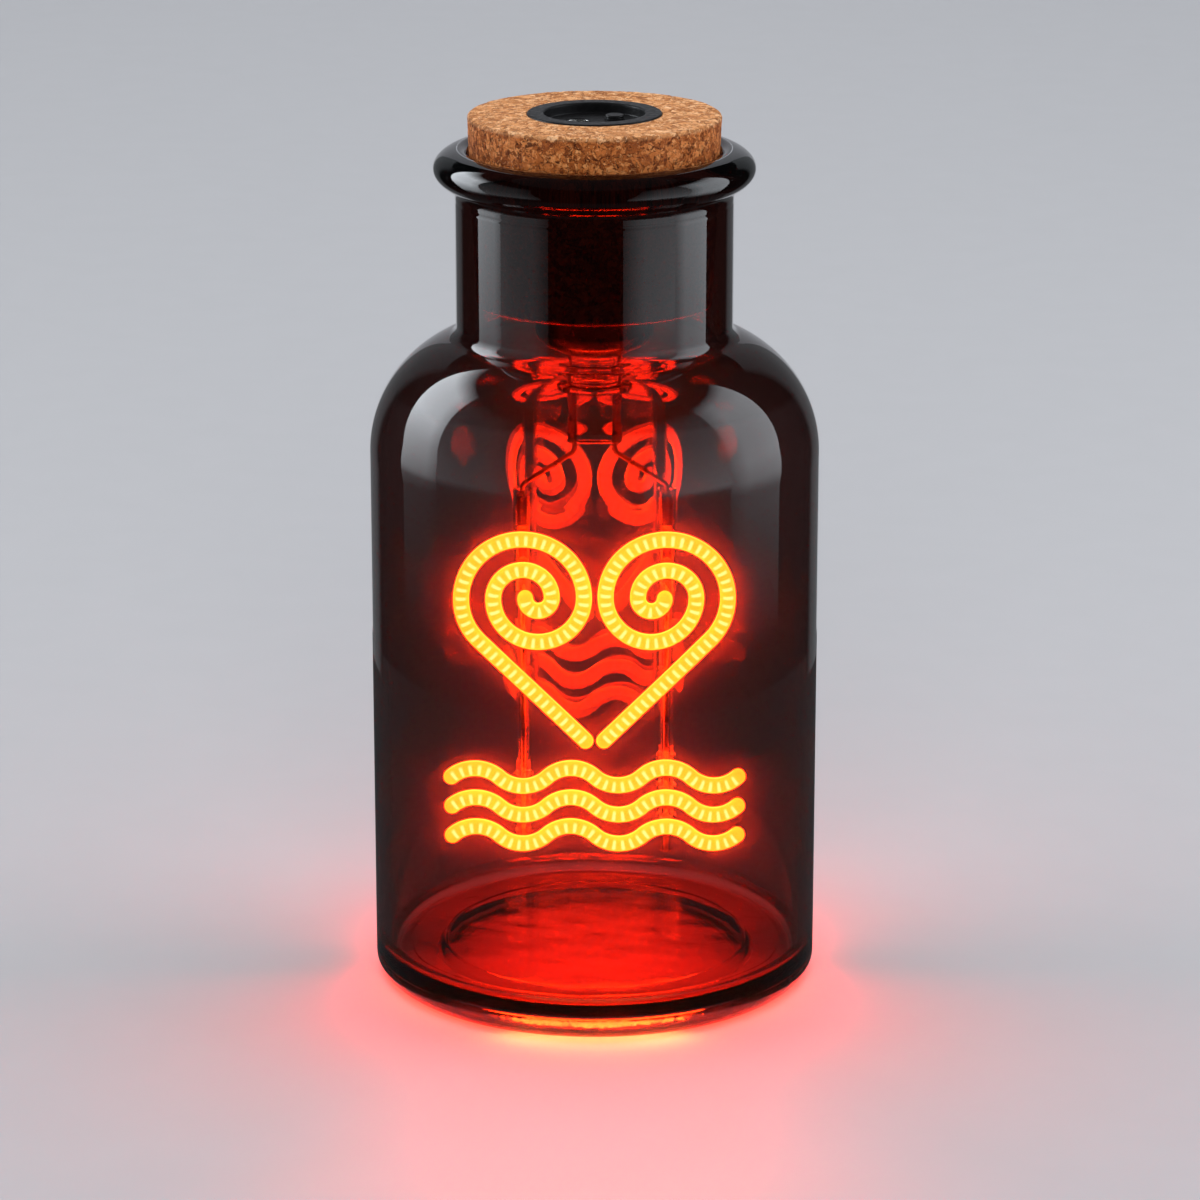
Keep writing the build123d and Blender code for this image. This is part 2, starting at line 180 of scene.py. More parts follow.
def rodAlong(path, flat, radius, sides, rounding):
    # a solid rod along a path; at each end the rings shrink along a quarter circle
    along = unit(np.gradient(path, axis=0))
    turn = np.linspace(0, math.pi / 2, 5)
    inset = (rounding * (1 - np.cos(turn)))[:, None]
    shrunk = radius - rounding * (1 - np.sin(turn))
    first, last = path[:1] + inset * along[:1], path[-1:] - inset[::-1] * along[-1:]
    line = np.concatenate([first, path[1:-1], last])
    ways = np.concatenate([np.repeat(along[:1], 5, 0), along[1:-1], np.repeat(along[-1:], 5, 0)])
    radii = np.concatenate([shrunk, np.full(len(path) - 2, radius), shrunk[::-1]])
    return skin(carried(line, ways, flat, radii, sides), poles=(path[0], path[-1]))


def pipeProfile(outer, bore, bottom, top, rounding):
    # the closed outline of an upright pipe's wall, with all four edges rounded
    r = rounding
    return outline(
        arcPoints((outer - r, bottom + r), r, -90, 0, 5),
        straight((outer, bottom + r), (outer, top - r), 6),
        arcPoints((outer - r, top - r), r, 0, 90, 5),
        arcPoints((bore + r, top - r), r, 90, 180, 5),
        straight((bore, top - r), (bore, bottom + r), 6),
        arcPoints((bore + r, bottom + r), r, 180, 270, 5))


def hashed(cell, seed):
    # a repeatable number from 0 to 1 for every whole-number cell
    mixed = (cell[:, 0] * 73856093) ^ (cell[:, 1] * 19349663) ^ (cell[:, 2] * 83492791)
    mixed = mixed ^ (seed * 40503)
    mixed = ((mixed ^ (mixed >> 13)) * 1274126177) & 0xFFFFFFFF
    return ((mixed ^ (mixed >> 16)) & 0xFFFFFF) / 0xFFFFFF


def grainField(points, size, seed):
    # for each point, the distance to the nearest and to the second nearest of grain centres
    # scattered one to a cube of the given size, and a random number that the nearest grain owns
    scaled = points / size
    base = np.floor(scaled).astype(np.int64)
    nearest = np.full(len(points), 9.0)
    second, owner = nearest.copy(), np.zeros(len(points))
    for step in np.ndindex(3, 3, 3):
        cell = base + np.array(step) - 1
        spot = cell + np.stack([hashed(cell, seed + k) for k in range(3)], 1)
        gap = np.linalg.norm(scaled - spot, axis=1)
        closer = gap < nearest
        second = np.where(closer, nearest, np.minimum(second, gap))
        owner = np.where(closer, hashed(cell, seed + 3), owner)
        nearest = np.where(closer, gap, nearest)
    return nearest, second, owner


# Shader helpers

def put(tree, kind, inputs=None, **settings):
    # one shader node; each input is a plain value or another node's output
    made = tree.nodes.new("ShaderNode" + kind)
    for key, value in settings.items():
        setattr(made, key, value)
    for key, value in (inputs or {}).items():
        if isinstance(value, bpy.types.NodeSocket):
            tree.links.new(value, made.inputs[key])
        else:
            made.inputs[key].default_value = value
    return made


def newMaterial(name, **plain):
    # a Principled material; plain sets sockets by name, with _ for a space
    material = bpy.data.materials.new(name)
    material.use_nodes = True
    tree = material.node_tree
    tree.nodes.clear()
    sockets = {key.replace("_", " "): value for key, value in plain.items()}
    shader = put(tree, "BsdfPrincipled", sockets)
    output = put(tree, "OutputMaterial", {"Surface": shader.outputs[0]})
    return material, tree, shader, output


def feed(tree, shader, socket, source):
    tree.links.new(source, shader.inputs[socket])


def objectPlace(tree):
    return put(tree, "TexCoord").outputs["Object"]


def noise(tree, place, scale, detail=2.0, rough=0.5, distortion=0.0):
    inputs = {"Vector": place, "Scale": scale, "Detail": detail,
              "Roughness": rough, "Distortion": distortion}
    return put(tree, "TexNoise", inputs).outputs[0]


def mathNode(tree, kind, a, b=0.0):
    return put(tree, "Math", {0: a, 1: b}, operation=kind).outputs[0]


def ranged(tree, value, low, high, toLow=0.0, toHigh=1.0):
    # the value carried smoothly from one range to another
    inputs = {"Value": value, "From Min": low, "From Max": high, "To Min": toLow, "To Max": toHigh}
    return put(tree, "MapRange", inputs, interpolation_type="SMOOTHSTEP").outputs[0]


def ramp(tree, value, stops):
    # a colour ramp from (place, colour) stops
    made = put(tree, "ValToRGB", {"Fac": value})
    elements = made.color_ramp.elements
    while len(elements) < len(stops):
        elements.new(0.5)
    for element, (place, colour) in zip(elements, stops):
        element.position = place
        element.color = (*colour, 1)
    return made.outputs[0]


def blended(tree, factor, first, second, kind="MIX"):
    made = put(tree, "Mix", {0: factor}, data_type="RGBA", blend_type=kind)
    for slot, colour in ((6, first), (7, second)):
        if isinstance(colour, bpy.types.NodeSocket):
            tree.links.new(colour, made.inputs[slot])
        else:
            made.inputs[slot].default_value = (*colour, 1)
    return made.outputs[2]


def bump(tree, shader, height, strength, distance):
    inputs = {"Height": height, "Strength": strength, "Distance": distance * mm}
    feed(tree, shader, "Normal", put(tree, "Bump", inputs).outputs[0])


def grainy(name, colour, roughness, scale=600.0, shade=0.3, grain=0.2, **plain):
    # a moulded, drawn or plated finish: uneven colour and roughness, and a fine grain
    material, tree, shader, _ = newMaterial(name, **plain)
    place = objectPlace(tree)
    cloud = noise(tree, place, scale, 4.0)
    dark = tuple(c * (1 - shade) for c in colour)
    light = tuple(min(1.0, c * (1 + shade)) for c in colour)
    feed(tree, shader, "Base Color", ramp(tree, cloud, [(0.3, dark), (0.7, light)]))
    worn = ranged(tree, cloud, 0.3, 0.7, roughness * 0.8, min(1.0, roughness * 1.2))
    feed(tree, shader, "Roughness", worn)
    bump(tree, shader, noise(tree, place, scale * 6, 2.0), grain, 0.05)
    return material


# Smoked glass bottle

bottle = {
    "bodyRadius": 49.97, "bodyTop": 122.0, "wall": 3.3, "base": 7.2, "heel": 4.5, "innerHeel": 4.0,
    "pushUpRadius": 35.5, "pushUpHeight": 2.4, "pushUpEdge": 0.8, "pushUpPower": 9.0,
    "floorRings": ((34.0, 0.16, 0.35), (42.1, 0.14, 0.4)),
    "floorRows": ((40.8, 0.18), (35.3, 1.0), (32.7, 0.18), (1.2, 1.6)),
    "shoulder": (22.07, 27.9), "shoulderTurn": 68.4, "neckRadius": 30.6, "neckFillet": (33.4, 150.545, 2.8),
    "bead": (28.0, 185.545), "beadSize": (7.35, 4.6), "beadEnds": (4, 74),
    "mouth": (29.775, 187.776, 2.2), "mouthTurn": (78.9, 177.45), "mouthFlare": (0.26, 187.6),
    "seat": (27.3, 181.645), "seamHeights": (5.7, 178.4), "seamWidth": 0.22, "seamDepth": 0.06,
    "seamReach": 1.4, "ripple": 0.035, "floorRipple": 0.05, "sides": 272,
    "coatUnder": 0.37, "coatHeel": 0.29, "coatBody": 0.5, "coatNeck": 1.0,
    "coatHeights": (0, 2.0, 5.5, 140.0, 154.0), "groundHeights": (0.3, 1.7), "groundFrom": 0.5,
    "bare": (0.97, 0.955, 0.95), "bodyTint": (0.24, 0.165, 0.16), "neckTint": (0.18, 0.085, 0.072),
    "bodyLight": (0.1, 0.07, 0.068), "neckLight": (0.15, 0.075, 0.065),
    "glassTint": (0.5, 0.36, 0.33), "density": 90.0, "hazeShare": 0.02, "hazeRoughness": 0.32,
    "groundRoughness": 0.3,
    "swirl": (190.0, 4.0, 0.55, 2.5), "swirlHeights": (8.5, 7.4), "swirlBump": (0.12, 0.5),
}


def smokedGlass():
    # the smoke is a coat on the outer faces, thin under the base and thick on the neck and lip;
    # the shader takes the root of its colour at each face, so the tints are squared
    b = bottle
    material, tree, shader, output = newMaterial("smokedGlass", IOR=1.5, Transmission_Weight=1.0)
    coat = put(tree, "Attribute", attribute_name="coat").outputs["Fac"]
    seen = [tuple(c * c for c in b[tint]) for tint in ("bodyTint", "neckTint")]
    tints = [(0, b["bare"]), (b["coatBody"], seen[0]), (1, seen[1])]
    feed(tree, shader, "Base Color", ramp(tree, coat, tints))
    absorb = put(tree, "VolumeAbsorption", {"Color": (*b["glassTint"], 1), "Density": b["density"]})
    tree.links.new(absorb.outputs[0], output.inputs["Volume"])
    place = objectPlace(tree)
    speck = put(tree, "TexWhiteNoise", {"Vector": place}).outputs["Value"]
    dust = mathNode(tree, "LESS_THAN", speck, b["hazeShare"])
    film = mathNode(tree, "MULTIPLY", dust, b["hazeRoughness"])
    level = put(tree, "SeparateXYZ", {0: place}).outputs[2]
    # the ring that the bottle stands on is stippled
    stipple = put(tree, "Attribute", attribute_name="ground").outputs["Fac"]
    ground = mathNode(tree, "MULTIPLY", stipple, b["groundRoughness"])
    feed(tree, shader, "Roughness", mathNode(tree, "MAXIMUM", film, ground))
    swirl = noise(tree, place, *b["swirl"])  # the pressed floor of the bottle has a swirled face
    low = ranged(tree, level, *(height * mm for height in b["swirlHeights"]))
    bump(tree, shader, mathNode(tree, "MULTIPLY", swirl, low), *b["swirlBump"])
    path = put(tree, "LightPath")
    lamps = mathNode(tree, "MAXIMUM", path.outputs["Is Shadow Ray"], path.outputs["Is Diffuse Ray"])
    passed = ramp(tree, coat, [(0, b["bare"]), (b["coatBody"], b["bodyLight"]), (1, b["neckLight"])])
    # light from the lamps and the sign goes straight on
    clear = put(tree, "BsdfTransparent", {0: passed})
    mixed = put(tree, "MixShader", {0: lamps, 1: shader.outputs[0], 2: clear.outputs[0]})
    tree.links.new(mixed.outputs[0], output.inputs["Surface"])
    return material


def bottleShape():
    b = bottle
    wall, side, neck = b["wall"], b["bodyRadius"], b["neckRadius"]
    heel, innerHeel, top, turn = b["heel"], b["innerHeel"], b["bodyTop"], b["shoulderTurn"]
    shoulderX, shoulderR = b["shoulder"]
    filletX, filletZ, fillet = b["neckFillet"]
    rim, rise = b["pushUpRadius"], b["pushUpHeight"]
    domeX = rim * np.linspace(0, 1, 60) ** 0.5
    dome = np.stack([domeX, rise * (1 - (domeX / rim) ** b["pushUpPower"])], 1)  # steeper towards its rim
    seamLow, seamHigh = b["seamHeights"]
    fine = np.linspace(-b["seamReach"], b["seamReach"], 9)
    seam = np.stack([neck + 0 * fine, seamHigh + fine], 1)
    heelSeam = np.stack([side + 0 * fine, seamLow + 0.4 * fine], 1)
    beadX, beadZ = b["bead"]
    wide, tall = b["beadSize"]
    beadStart = math.degrees(math.acos((neck - beadX) / wide))
    beadFrom, beadTo = b["beadEnds"]
    mouthX, mouthZ, mouthR = b["mouth"]
    (seatR, seatZ), (flare, flareZ) = b["seat"], b["mouthFlare"]
    inner, base = side - wall, b["base"]
    outside = outline(
        dome, straight((rim + b["pushUpEdge"], 0), (side - heel, 0), 3),
        arcPoints((side - heel, heel), heel, -90, 0, 14),
        heelSeam, straight((side, seamLow + 1.1), (side, top), 8),
        arcPoints((shoulderX, top), shoulderR, 0, turn, 34),
        arcPoints((filletX, filletZ), fillet, 180 + turn, 180, 10),
        straight((neck, filletZ), (neck, seamHigh - 1.6), 6), seam,
        (neck, beadZ - tall), arcPoints((beadX, beadZ), (wide, tall), beadFrom - beadStart, beadTo, 34),
        arcPoints((mouthX, mouthZ), mouthR, *b["mouthTurn"], 14))
    starts = [inner - innerHeel] + [end for end, _ in b["floorRows"]]
    floorRows = [straight((start, base), (end, base), spacing)
                 for start, (end, spacing) in zip(starts, b["floorRows"])]
    within = outline(
        straight((seatR + flare, flareZ), (seatR, seatZ), 2),
        straight((seatR, seatZ), (neck - wall, filletZ), 4),
        arcPoints((filletX, filletZ), fillet + wall, 180, 180 + turn, 14),
        arcPoints((shoulderX, top), shoulderR - wall, turn, 0, 30),
        straight((inner, top), (inner, base + innerHeel), 5),
        arcPoints((inner - innerHeel, base + innerHeel), innerHeel, 0, -90, 12), *floorRows, (0, base))
    outerR, outerZ = outside.T
    steps = [b[key] for key in ("coatHeel", "coatHeel", "coatBody", "coatBody", "coatNeck")]
    share = np.interp(outerZ, b["coatHeights"], steps)
    share[(outerR < side - heel) & (outerZ > heel)] = b["coatNeck"]
    share[(outerR < rim + b["pushUpEdge"]) & (outerZ < heel)] = b["coatUnder"]
    rough = np.interp(outerZ, b["groundHeights"], (1, 0)) * (outerR > rim + b["groundFrom"])
    marks = {}
    for key, values in (("coat", share), ("ground", rough)):
        rows = np.concatenate([values, np.zeros(len(within))])
        # the first and last points lie on the axis, and skin puts them after the rings
        marks[key] = np.concatenate([np.repeat(rows[1:-1], b["sides"]), rows[:1], rows[-1:]])

    def uneven(radius, height, angle):
        # the mould's seams are hair grooves, slow sine ripples run over the inside wall
        # and the floor, and two rings are pressed into the floor
        outside = (radius > side - 0.2) | ((radius > neck - 0.2) & (height > filletZ))
        for at in (seamLow, seamHigh):
            radius = radius - outside * b["seamDepth"] * np.exp(-((height - at) / b["seamWidth"]) ** 2)
        inside = (np.abs(radius - inner) < 0.3) & (height > base + innerHeel - 0.01)
        swing = np.sin(3 * angle + 0.05 * height) + 0.7 * np.sin(7 * angle - 0.11 * height + 1.3)
        swing = swing + 0.5 * np.sin(0.21 * height + 2 * angle + 0.6)
        fade = np.clip((height - 11) / 12, 0, 1) * np.clip((top - height) / 12, 0, 1)
        radius = radius + inside * fade * b["ripple"] * swing
        floor = (height < base + 0.01) & (height > base - 0.01)
        x, y = radius * np.cos(angle), radius * np.sin(angle)
        wave = np.sin(0.42 * x + 0.15 * y) + np.sin(0.2 * x - 0.5 * y + 2.1)
        wave = wave + 0.6 * np.sin(0.9 * y + 0.3 * x)
        height = height + floor * np.clip((41 - radius) / 8, 0, 1) * b["floorRipple"] * wave
        for ring, deep, wide in b["floorRings"]:
            height = height - floor * deep * np.exp(-((radius - ring) / wide) ** 2)
        return radius, height

    return lathe(np.concatenate([outside, within]), b["sides"], swell=uneven), marks


glassShape, glassMarks = bottleShape()
addPiece("bottleGlass", glassShape, smokedGlass(), "bottle", ["glass_bottle"],
         marks=glassMarks, sharp=60)
print("bottle done")


# Cork stopper

cork = {
    "bottom": 156.045, "top": 197.445, "lowRadius": 26.01, "highRadius": 27.855, "edge": 0.9,
    "bore": 13.1, "seatRadius": 14.85, "seatBottom": 196.545,
    "sides": 440, "fine": 0.42, "coarse": 1.1, "fineHeight": 11.0,
    "grainSize": 2.3, "crackDepth": 0.06, "grainStep": 0.09, "pitSize": 1.9, "pitDepth": 0.75, "bend": 0.7,
    "tones": [(0.2, (0.13, 0.04, 0.012)), (0.36, (0.38, 0.145, 0.047)), (0.5, (0.61, 0.27, 0.1)),
              (0.66, (0.78, 0.41, 0.185)), (0.8, (0.95, 0.62, 0.36))],
    "crackTone": (0.2, 0.07, 0.022), "paleTone": (0.84, 0.57, 0.35),
    "fleckTones": ((520.0, (0.085, 0.026, 0.008)), (1150.0, (0.06, 0.019, 0.006))),
    "fleckRange": (0.575, 0.63), "fleckShare": 0.9,
    "sideTone": (0.97, 0.63, 0.37), "topTone": (0.65, 0.26, 0.09), "topShare": 0.22, "topEdge": (1.3, 0.4),
}


def corkGrain():
    # granules of two sizes with bent outlines, dark bark flecks, pale chips and fine speckle
    c = cork
    material, tree, shader, _ = newMaterial("corkGrain", Specular_IOR_Level=0.25)
    place = objectPlace(tree)
    bent = place
    for scale, reach in ((230.0, 0.0024), (900.0, 0.0009)):
        warp = put(tree, "TexNoise", {"Vector": place, "Scale": scale, "Detail": 2.0}).outputs["Color"]
        shifted = put(tree, "VectorMath", {0: warp, 1: (reach,) * 3}, operation="MULTIPLY").outputs[0]
        bent = put(tree, "VectorMath", {0: bent, 1: shifted}, operation="ADD").outputs[0]
    tints, edges = [], []
    for scale in (430.0, 900.0):
        inputs = {"Vector": bent, "Scale": scale, "Randomness": 1.0}
        grain = put(tree, "TexVoronoi", inputs, feature="F1")
        tints.append(put(tree, "SeparateColor", {0: grain.outputs["Color"]}).outputs[0])
        edges.append(put(tree, "TexVoronoi", inputs, feature="DISTANCE_TO_EDGE").outputs["Distance"])
    mask = ranged(tree, noise(tree, place, 330.0, 2.0), 0.44, 0.5)
    tint = put(tree, "Mix", {0: mask, 2: tints[0], 3: tints[1]}).outputs[0]
    edge = put(tree, "Mix", {0: mask, 2: edges[0], 3: edges[1]}).outputs[0]
    speckle = noise(tree, bent, 2100.0, 5.0, 0.7)
    halves = [mathNode(tree, "MULTIPLY", part, 0.5) for part in (tint, speckle)]
    tone = mathNode(tree, "ADD", *halves)
    colour = ramp(tree, tone, c["tones"])
    crack = ranged(tree, edge, 0.0, 0.07, 0.6, 0.0)
    colour = blended(tree, crack, colour, c["crackTone"])
    hollow = crack
    for scale, fleck in c["fleckTones"]:
        spot = noise(tree, bent, scale, 4.0, 0.65, 1.8)
        spot = ranged(tree, spot, *c["fleckRange"], 0.0, c["fleckShare"])
        colour = blended(tree, spot, colour, fleck)
        hollow = mathNode(tree, "ADD", hollow, spot)
    pale = ranged(tree, noise(tree, bent, 800.0, 2.0, 0.5, 2.2), 0.62, 0.68, 0.0, 0.75)
    colour = blended(tree, pale, colour, c["paleTone"])
    level = put(tree, "SeparateXYZ", {0: place}).outputs[2]
    below, above = ((c["top"] - depth) * mm for depth in c["topEdge"])
    # below the top edge the sides are darker and redder than the top
    side = ranged(tree, level, above, below)
    colour = blended(tree, side, colour, c["sideTone"], "MULTIPLY")
    sanded = ranged(tree, level, below, above, 0.0, c["topShare"])
    colour = blended(tree, sanded, colour, c["topTone"])  # the cut top is more even
    feed(tree, shader, "Base Color", colour)
    feed(tree, shader, "Roughness", ranged(tree, speckle, 0.3, 0.7, 0.7, 0.95))
    relief = mathNode(tree, "SUBTRACT", mathNode(tree, "MULTIPLY", tone, 0.7), hollow)
    bump(tree, shader, relief, 0.6, 0.22)
    return material


def corkShape():
    c = cork
    low, high, edge, fine = c["lowRadius"], c["highRadius"], c["edge"], c["fine"]
    slope = (high - low) / (c["top"] - c["bottom"])
    fineZ = c["top"] - c["fineHeight"]
    fineR = low + slope * (fineZ - c["bottom"])
    profile = outline(
        straight((c["bore"], c["bottom"]), (low - edge, c["bottom"]), 1.2),
        arcPoints((low - edge, c["bottom"] + edge), edge, -90, 0, 6),
        straight((low + slope * edge, c["bottom"] + edge), (fineR, fineZ), c["coarse"]),
        straight((fineR, fineZ), (high - slope * edge, c["top"] - edge), fine),
        arcPoints((high - edge, c["top"] - edge), edge, 0, 90, 7),
        straight((high - edge, c["top"]), (c["seatRadius"] + 0.1, c["top"]), fine),
        straight((c["seatRadius"], c["top"] - 0.1), (c["seatRadius"], c["seatBottom"]), 0.4),
        straight((c["seatRadius"], c["seatBottom"]), (c["bore"], c["seatBottom"]), 0.6),
        straight((c["bore"], c["seatBottom"]), (c["bore"], c["bottom"]), 6.0))

    def crumbled(radius, height, angle):
        # granules stand at uneven heights with cracks between them, and a few have fallen out
        along = unit(np.gradient(np.stack([radius[:, 0], height[:, 0]], 1), axis=0))
        out = np.stack([along[:, 1], -along[:, 0]], 1)
        spots = np.stack([radius * np.cos(angle), radius * np.sin(angle), height], -1).reshape(-1, 3)
        # a slow sine of the next axis bends the outlines of the granules
        spots = spots + c["bend"] * np.sin(spots[:, [1, 2, 0]] * 1.9 + np.array([0.4, 1.7, 2.9]))
        nearest, second, owner = grainField(spots, c["grainSize"], 11)
        crack = np.clip(1 - (second - nearest) / 0.16, 0, 1)
        pitNear, _, pitOwner = grainField(spots, c["pitSize"], 47)
        pit = (pitOwner > 0.86) * np.clip(1 - pitNear / 0.34, 0, 1) ** 0.7
        depth = c["crackDepth"] * crack + c["grainStep"] * owner
        depth = depth + c["pitDepth"] * pit * (0.4 + 0.6 * owner)
        showing = (radius > c["seatRadius"] + 0.3) | (height < c["bottom"] + 0.01)
        depth = depth.reshape(radius.shape) * showing
        return radius - depth * out[:, :1], height - depth * out[:, 1:]

    return lathe(profile, c["sides"], closed=True, swell=crumbled)


addPiece("corkStopper", corkShape(), corkGrain(), "stopper", ["cork_stopper"], sharp=75)
print("cork done")


# Black control cup, capsule, button and charging socket

cup = {
    "flangeRadius": 14.8, "flangeBottom": 196.545, "top": 197.744, "round": 0.4, "innerRound": 0.45,
    "wellRadius": 11.05, "floorTop": 195.395, "floorBottom": 194.195, "floorFillet": 0.35,
    "skirtRadius": 13.05, "skirtBore": 11.85, "skirtBottom": 181.095, "sides": 128,
    "holes": ((4.4, 3.4, 2.25), (-3.6, 2.1, 2.75), (-7.316, 0.367, 0.6)),
}


def cupShape():
    c = cup
    r, inner, fillet, top = c["round"], c["innerRound"], c["floorFillet"], c["top"]
    flange, well, skirt, bore = c["flangeRadius"], c["wellRadius"], c["skirtRadius"], c["skirtBore"]
    return lathe(outline(
        (0, c["floorBottom"]), (bore, c["floorBottom"]), (bore, c["skirtBottom"]),
        (skirt, c["skirtBottom"]), (skirt, c["flangeBottom"]), (flange, c["flangeBottom"]),
        arcPoints((flange - r, top - r), r, 0, 90, 8),
        straight((flange - r, top), (well + inner, top), 1.5),
        arcPoints((well + inner, top - inner), inner, 90, 180, 8),
        straight((well, top - inner), (well, c["floorTop"] + fillet), 1.0),
        arcPoints((well - fillet, c["floorTop"] + fillet), fillet, 0, -90, 6),
        (0, c["floorTop"])), c["sides"])


def cutHoles(piece, holes, low, high):
    # round holes through the well's floor, each cut by an upright cylinder
    cutters = []
    for x, y, radius in holes:
        points, faces = lathe(outline((0, low), (radius, low), (radius, high), (0, high)), 64, (x, y))
        if signedVolume(points, faces) < 0:
            faces = [group[:, ::-1] for group in faces]
        mesh = bpy.data.meshes.new("holeCutter")
        mesh.from_pydata((points * mm).tolist(), [], [f for group in faces for f in group.tolist()])
        cutter = bpy.data.objects.new("holeCutter", mesh)
        scene.collection.objects.link(cutter)
        cut = piece.modifiers.new("hole", "BOOLEAN")
        cut.operation, cut.solver, cut.object = "DIFFERENCE", "EXACT", cutter
        cutters.append(cutter)
    graph = bpy.context.evaluated_depsgraph_get()
    whole = bpy.data.meshes.new_from_object(piece.evaluated_get(graph))
    piece.modifiers.clear()
    piece.data = whole
    for cutter in cutters:
        bpy.data.objects.remove(cutter)
    whole.polygons.foreach_set("use_smooth", np.ones(len(whole.polygons), bool))
    whole.set_sharp_from_angle(angle=math.radians(38))


satinBlack = grainy("satinBlack", (0.007, 0.007, 0.0075), 0.4, 900.0, 0.25, 0.12, Specular_IOR_Level=0.18)
cupPiece = addPiece("controlCup", cupShape(), satinBlack, "stopper", ["control_cup"])
cutHoles(cupPiece, cup["holes"], cup["floorBottom"] - 1, cup["floorTop"] + 1)

capsule = {
    "radius": 13.05, "bottom": 145.995, "round": 4.0, "top": 181.095, "spigot": 11.8, "spigotTop": 185.195,
    "bore": 10.65, "floorTop": 147.995, "hole": 5.95, "holeEdge": 0.4, "sides": 128,
}


def capsuleShape():
    c = capsule
    r, e, hole = c["round"], c["holeEdge"], c["hole"]
    return lathe(outline(
        arcPoints((hole + e, c["bottom"] + e), e, 180, 270, 5),
        straight((hole + e, c["bottom"]), (c["radius"] - r, c["bottom"]), 1.0),
        arcPoints((c["radius"] - r, c["bottom"] + r), r, -90, 0, 14),
        straight((c["radius"], c["bottom"] + r), (c["radius"], c["top"]), 4.0), (c["spigot"], c["top"]),
        (c["spigot"], c["spigotTop"]), (c["bore"], c["spigotTop"]), (c["bore"], c["floorTop"]),
        (hole, c["floorTop"])), c["sides"], closed=True)


capsuleBlack = grainy("capsuleBlack", (0.014, 0.013, 0.013), 0.3, 500.0, 0.25, 0.1)
addPiece("capsuleShell", capsuleShape(), capsuleBlack, "stopper", ["capsule_shell"])

button = {
    "centre": (4.4, 3.4), "radius": 2.1, "top": 196.595, "bottom": 193.345, "flange": 2.85,
    "flangeTop": 194.145, "round": 0.35, "dish": 0.06, "groove": (195.98, 0.16), "sides": 72,
}


def buttonShape():
    b = button
    r, radius, top = b["round"], b["radius"], b["top"]
    grooveZ, deep = b["groove"]
    return lathe(outline(
        (0, b["bottom"]), (b["flange"], b["bottom"]),
        (b["flange"], b["flangeTop"]), (radius, b["flangeTop"]),
        straight((radius, b["flangeTop"]), (radius, grooveZ - deep), 0.6, 0.05),
        arcPoints((radius, grooveZ), deep, 270, 90, 9), (radius, top - r),
        arcPoints((radius - r, top - r), r, 0, 90, 8),
        (radius * 0.6, top - 0.7 * b["dish"]), (0, top - b["dish"])),
        b["sides"], b["centre"])


buttonBlack = grainy("buttonBlack", (0.009, 0.009, 0.0095), 0.36, 1500.0, 0.25, 0.1,
                     Specular_IOR_Level=0.25)
addPiece("powerButton", buttonShape(), buttonBlack, "button", ["power_button"])

jack = {"centre": (-3.6, 2.1), "bore": 2.45, "outer": 2.7, "bottom": 187.395, "top": 195.245, "lip": 0.1,
        "pinRadius": 0.8, "pinBottom": 186.395, "pinTop": 194.195, "pinRound": 0.55, "pinSides": 40, "sides": 72}
light = {"centre": (-7.316, 0.367), "radius": 0.55, "bottom": 187.195, "top": 195.545,
         "dome": 0.3, "sides": 40}

nickel = grainy("nickelPlate", (0.72, 0.71, 0.69), 0.2, 700.0, 0.12, 0.04, Metallic=1.0)
sleeveWall = pipeProfile(jack["outer"], jack["bore"], jack["bottom"], jack["top"], jack["lip"])
addPiece("jackSleeve", lathe(sleeveWall, jack["sides"], jack["centre"], closed=True), nickel, "stopper",
         ["jack_sleeve"])


def pinShape():
    # a rod with a rounded tip
    radius, bottom, top, r = (jack[key] for key in ("pinRadius", "pinBottom", "pinTop", "pinRound"))
    return lathe(outline(
        (0, bottom), (radius, bottom), straight((radius, bottom), (radius, top - r), 2.0),
        arcPoints((radius - r, top - r), r, 0, 90, 8), (0, top)), jack["pinSides"], jack["centre"])


addPiece("jackPin", pinShape(), nickel, "stopper", ["jack_pin"])


def clearFinish(name, colour, roughness, scale):
    # clear moulded plastic or glass with a few slow waves in its surface
    material, tree, shader, _ = newMaterial(name, IOR=1.47, Transmission_Weight=1.0)
    place = objectPlace(tree)
    cloud = noise(tree, place, scale, 2.0)
    dim = tuple(c * 0.94 for c in colour)
    feed(tree, shader, "Base Color", ramp(tree, cloud, [(0.3, dim), (0.7, colour)]))
    feed(tree, shader, "Roughness", ranged(tree, cloud, 0.3, 0.7, roughness * 0.5, roughness * 1.5))
    bump(tree, shader, cloud, 0.25, 0.2)
    return material


clearGlass = clearFinish("clearGlass", (0.95, 0.92, 0.9), 0.05, 260.0)
clearPlastic = clearFinish("clearPlastic", (0.96, 0.93, 0.92), 0.03, 180.0)


def chargeLightShape():
    # a rod with a low dome on top
    radius, bottom, top, dome = (light[key] for key in ("radius", "bottom", "top", "dome"))
    return lathe(outline(
        (0, bottom), (radius, bottom), (radius, top - dome),
        arcPoints((0, top - dome), (radius, dome), 0, 84, 7), (0, top)), light["sides"], light["centre"])


addPiece("chargeLight", chargeLightShape(), clearPlastic, "stopper", ["charge_light"])
print("controls done")


# Clear stem under the capsule, with its flange and flat foot

stem = {
    "top": 147.995, "neck": 5.9, "flangeTop": 138.395, "flangeBottom": 136.395, "flange": 8.3,
    "flangeRound": 0.7, "flangeFillet": 0.8, "footBottom": 123.695, "footWide": 6.1, "footThick": 3.0,
    "footRound": 0.9, "footSquare": 4.6, "waist": 0.35, "sides": 112,
}


